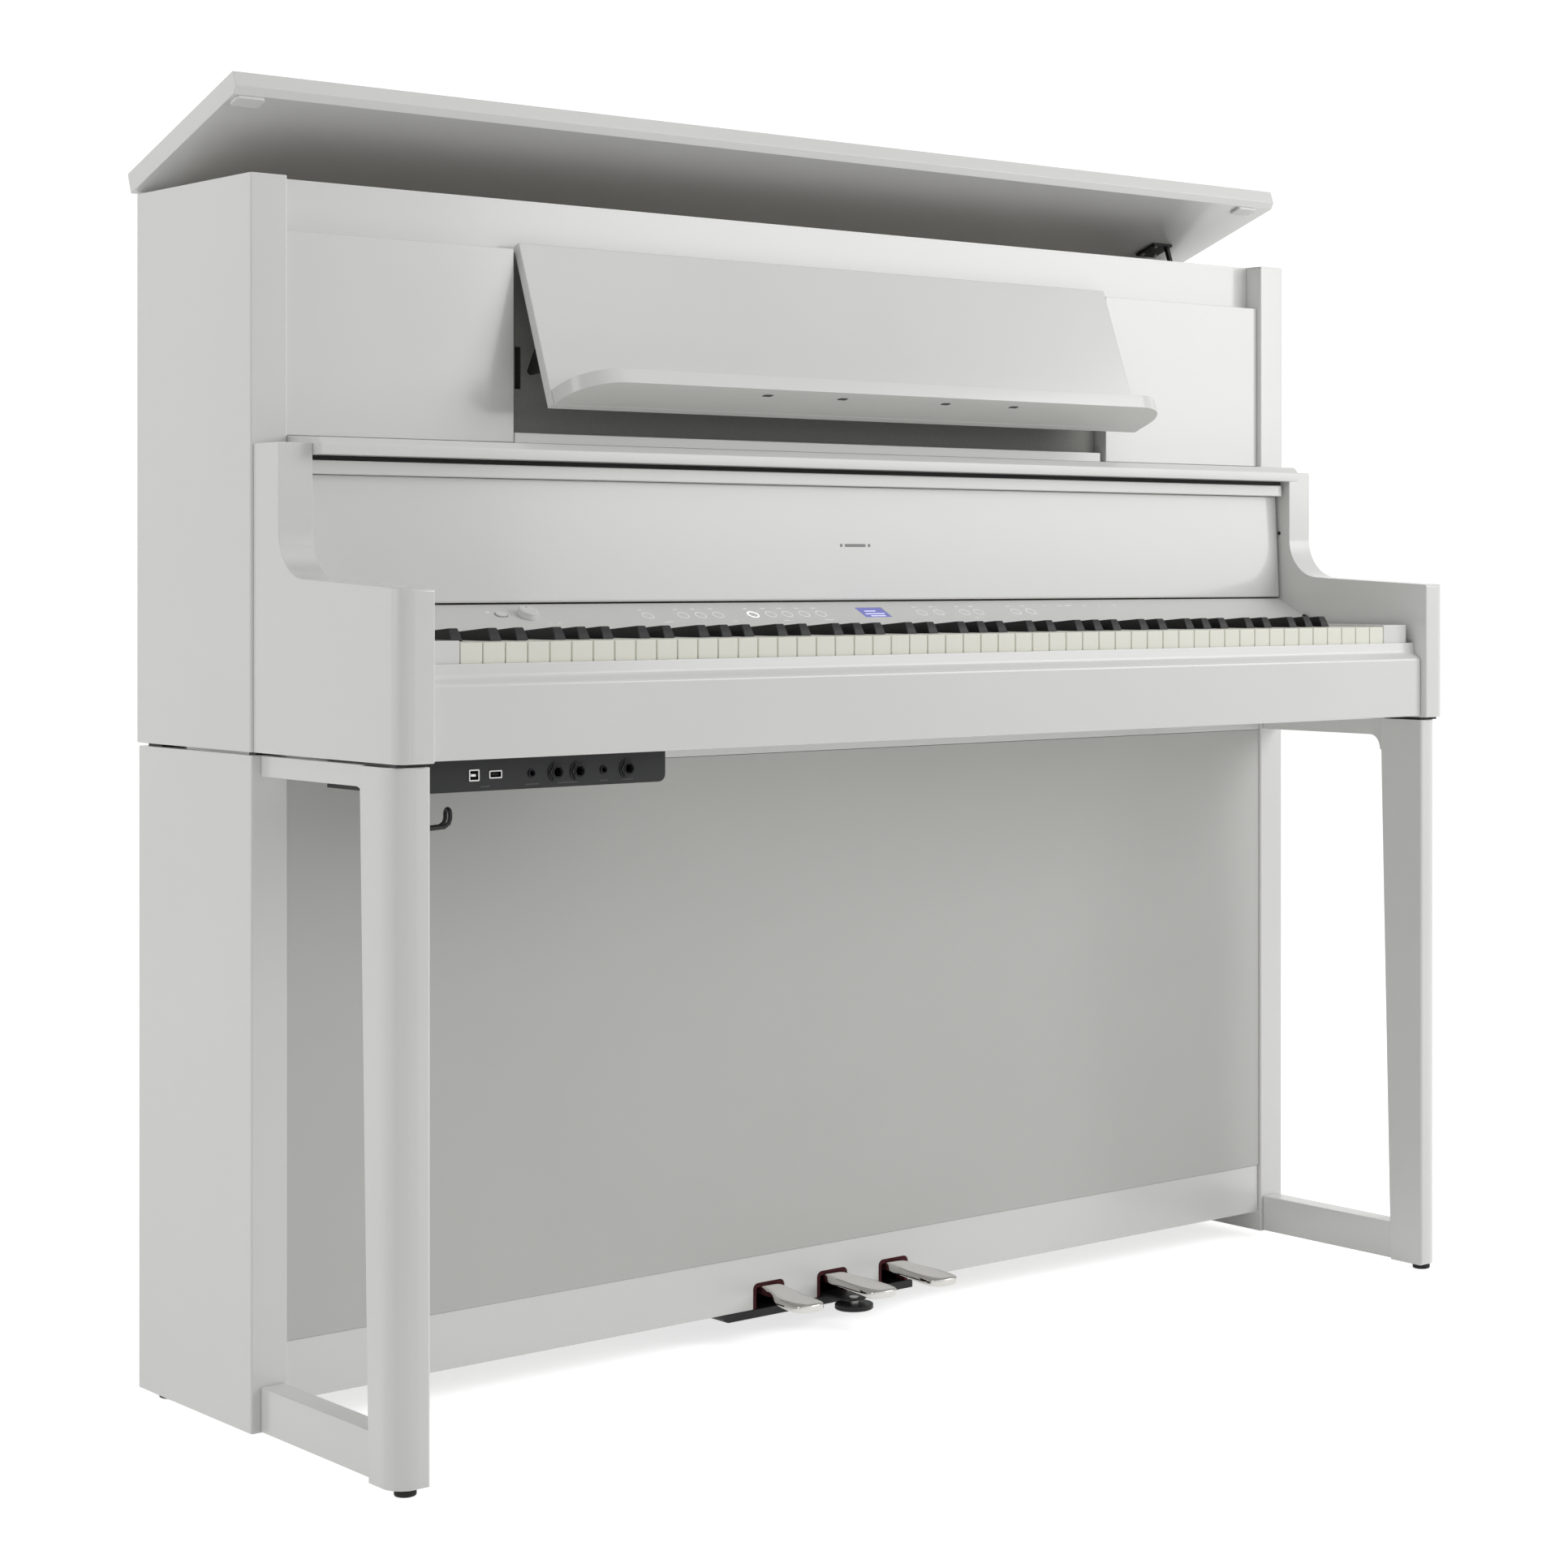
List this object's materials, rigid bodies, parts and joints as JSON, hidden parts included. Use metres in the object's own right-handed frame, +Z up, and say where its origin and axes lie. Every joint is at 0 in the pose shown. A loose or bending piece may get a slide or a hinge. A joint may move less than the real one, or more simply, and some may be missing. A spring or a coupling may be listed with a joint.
{
  "type": "digital piano",
  "caption": "White upright digital piano on a leg stand, with a part-open hinged lid, folding music rest, key cover, sloping control panel, full keyboard and foot pedals.",
  "frame": {"origin": "on the floor under the centre of the overall box at rest", "axes": "+Z up, -Y towards the player, +X to the treble end of the keyboard"},
  "size_m": [1.396, 0.4959, 1.2644],
  "materials": {
    "satin_white_lacquer": "satin white lacquer on board",
    "white_panel": "matt white moulded plastic",
    "white_sheet": "matt white foil on board",
    "white_key": "ivory-like matt",
    "black_key": "ebony-like matt",
    "backboard": "plain board",
    "black_steel": "black powder coat",
    "black_plastic": "black moulded",
    "rubber": "matt",
    "chrome": "polished plating",
    "glass": "clear window over a lit display",
    "circuit_board": "green lacquer"
  },
  "bodies": {
    "cabinet": {"side_upper_right": "satin_white_lacquer", "side_upper_left": "satin_white_lacquer", "arm_right": "satin_white_lacquer", "arm_left": "satin_white_lacquer", "upper_baffle": "satin_white_lacquer", "front_panel_right": "satin_white_lacquer", "front_panel_left": "satin_white_lacquer", "shelf": "satin_white_lacquer", "key_block_left": "satin_white_lacquer", "key_block_right": "satin_white_lacquer", "key_slip": "satin_white_lacquer", "key_bed": "satin_white_lacquer", "side_board_right": "satin_white_lacquer", "side_board_left": "satin_white_lacquer", "leg_right": "satin_white_lacquer", "leg_left": "satin_white_lacquer", "leg_top_rail_right": "satin_white_lacquer", "leg_top_rail_left": "satin_white_lacquer", "leg_bottom_rail_right": "satin_white_lacquer", "leg_bottom_rail_left": "satin_white_lacquer", "kick_board": "satin_white_lacquer", "control_panel": "white_panel", "lower_panel": "white_sheet", "rear_panel_upper": "backboard", "rear_panel_lower": "backboard", "lid_hinge_right": "black_steel", "lid_hinge_left": "black_steel", "headphone_hook": "black_steel", "pedal_box": "black_steel", "connector_panel": "black_plastic", "speaker_right": "black_plastic", "speaker_left": "black_plastic", "power_inlet": "black_plastic", "foot_front_right": "rubber", "foot_front_left": "rubber", "foot_rear_right": "rubber", "foot_rear_left": "rubber", "display_window": "glass", "main_board": "circuit_board"},
    "lid": {"top_lid": "satin_white_lacquer", "lid_stay": "black_steel"},
    "rest": {"music_rest": "satin_white_lacquer", "music_ledge": "satin_white_lacquer", "music_stay": "black_steel"},
    "cover": {"key_cover": "satin_white_lacquer"},
    "cover_lip": {"key_cover_lip": "satin_white_lacquer"},
    "white_bank": {"white_keys": "white_key"},
    "black_bank": {"black_keys": "black_key"},
    "key_c4": {"white_key_c4": "white_key"},
    "key_c_sharp_4": {"black_key_c_sharp_4": "black_key"},
    "key_d4": {"white_key_d4": "white_key"},
    "key_d_sharp_4": {"black_key_d_sharp_4": "black_key"},
    "key_e4": {"white_key_e4": "white_key"},
    "knob": {"volume_knob": "white_panel"},
    "button": {"power_button": "white_panel"},
    "soft_pedal": {"pedal_soft": "chrome"},
    "sostenuto_pedal": {"pedal_sostenuto": "chrome"},
    "damper_pedal": {"pedal_damper": "chrome"},
    "adjuster": {"pedal_adjuster": "black_plastic"}
  },
  "joints": [
    {"name": "lid_hinge", "type": "hinge", "parent": "cabinet", "child": "lid", "pos_m": [0, 0.24152, 1.1696], "axis": [-1, 0, 0], "range_deg": [-19.5, 24.5]},
    {"name": "music_rest_hinge", "type": "hinge", "parent": "cabinet", "child": "rest", "pos_m": [0, 0.02702, 1.119], "axis": [1, 0, 0], "range_deg": [0, 20.3]},
    {"name": "key_cover_hinge", "type": "hinge", "parent": "cabinet", "child": "cover", "pos_m": [0, -0.00398, 0.79], "axis": [1, 0, 0], "range_deg": [0, 84]},
    {"name": "key_cover_lip_hinge", "type": "hinge", "parent": "cover", "child": "cover_lip", "pos_m": [0, -0.02748, 0.89115], "axis": [1, 0, 0], "range_deg": [0, 90.5]},
    {"name": "white_keys_pivot", "type": "hinge", "parent": "cabinet", "child": "white_bank", "pos_m": [0, 0.00202, 0.725], "axis": [1, 0, 0], "range_deg": [0, 2.5], "stiffness_Nm_per_rad": 200, "springref_deg": -2.86},
    {"name": "black_keys_pivot", "type": "hinge", "parent": "cabinet", "child": "black_bank", "pos_m": [0, 0.00202, 0.725], "axis": [1, 0, 0], "range_deg": [0, 3.2], "stiffness_Nm_per_rad": 80, "springref_deg": -2.86},
    {"name": "key_c4_pivot", "type": "hinge", "parent": "cabinet", "child": "key_c4", "pos_m": [0, 0.00202, 0.725], "axis": [1, 0, 0], "range_deg": [0, 2.5], "stiffness_Nm_per_rad": 5, "springref_deg": -2.86},
    {"name": "key_c_sharp_4_pivot", "type": "hinge", "parent": "cabinet", "child": "key_c_sharp_4", "pos_m": [0, 0.00202, 0.725], "axis": [1, 0, 0], "range_deg": [0, 3.2], "stiffness_Nm_per_rad": 5, "springref_deg": -2.86},
    {"name": "key_d4_pivot", "type": "hinge", "parent": "cabinet", "child": "key_d4", "pos_m": [0, 0.00202, 0.725], "axis": [1, 0, 0], "range_deg": [0, 2.5], "stiffness_Nm_per_rad": 5, "springref_deg": -2.86},
    {"name": "key_d_sharp_4_pivot", "type": "hinge", "parent": "cabinet", "child": "key_d_sharp_4", "pos_m": [0, 0.00202, 0.725], "axis": [1, 0, 0], "range_deg": [0, 3.2], "stiffness_Nm_per_rad": 5, "springref_deg": -2.86},
    {"name": "key_e4_pivot", "type": "hinge", "parent": "cabinet", "child": "key_e4", "pos_m": [0, 0.00202, 0.725], "axis": [1, 0, 0], "range_deg": [0, 2.5], "stiffness_Nm_per_rad": 5, "springref_deg": -2.86},
    {"name": "volume_knob_turn", "type": "hinge", "parent": "cabinet", "child": "knob", "pos_m": [-0.42601, -0.04098, 0.7585], "axis": [0, -0.4472, 0.8944], "range_deg": [-150, 150]},
    {"name": "power_button_press", "type": "slide", "parent": "cabinet", "child": "button", "axis": [0, 0.4472, -0.8944], "range_m": [0, 0.001], "stiffness_N_per_m": 300, "springref_m": -0.003},
    {"name": "soft_pedal_pivot", "type": "hinge", "parent": "cabinet", "child": "soft_pedal", "pos_m": [0, 0.08202, 0.05], "axis": [1, 0, 0], "range_deg": [0, 3.2], "stiffness_Nm_per_rad": 60, "springref_deg": -2.86},
    {"name": "sostenuto_pedal_pivot", "type": "hinge", "parent": "cabinet", "child": "sostenuto_pedal", "pos_m": [0, 0.08202, 0.05], "axis": [1, 0, 0], "range_deg": [0, 3.2], "stiffness_Nm_per_rad": 60, "springref_deg": -2.86},
    {"name": "damper_pedal_pivot", "type": "hinge", "parent": "cabinet", "child": "damper_pedal", "pos_m": [0, 0.08202, 0.05], "axis": [1, 0, 0], "range_deg": [0, 3.2], "stiffness_Nm_per_rad": 60, "springref_deg": -2.86},
    {"name": "pedal_adjuster_screw", "type": "slide", "parent": "cabinet", "child": "adjuster", "axis": [0, 0, 1], "range_m": [-0.0217, 0]}
  ],
  "couplings": [
    {"joint": "key_cover_lip_hinge", "follows": "key_cover_hinge", "ratio": 1.0714}
  ]
}
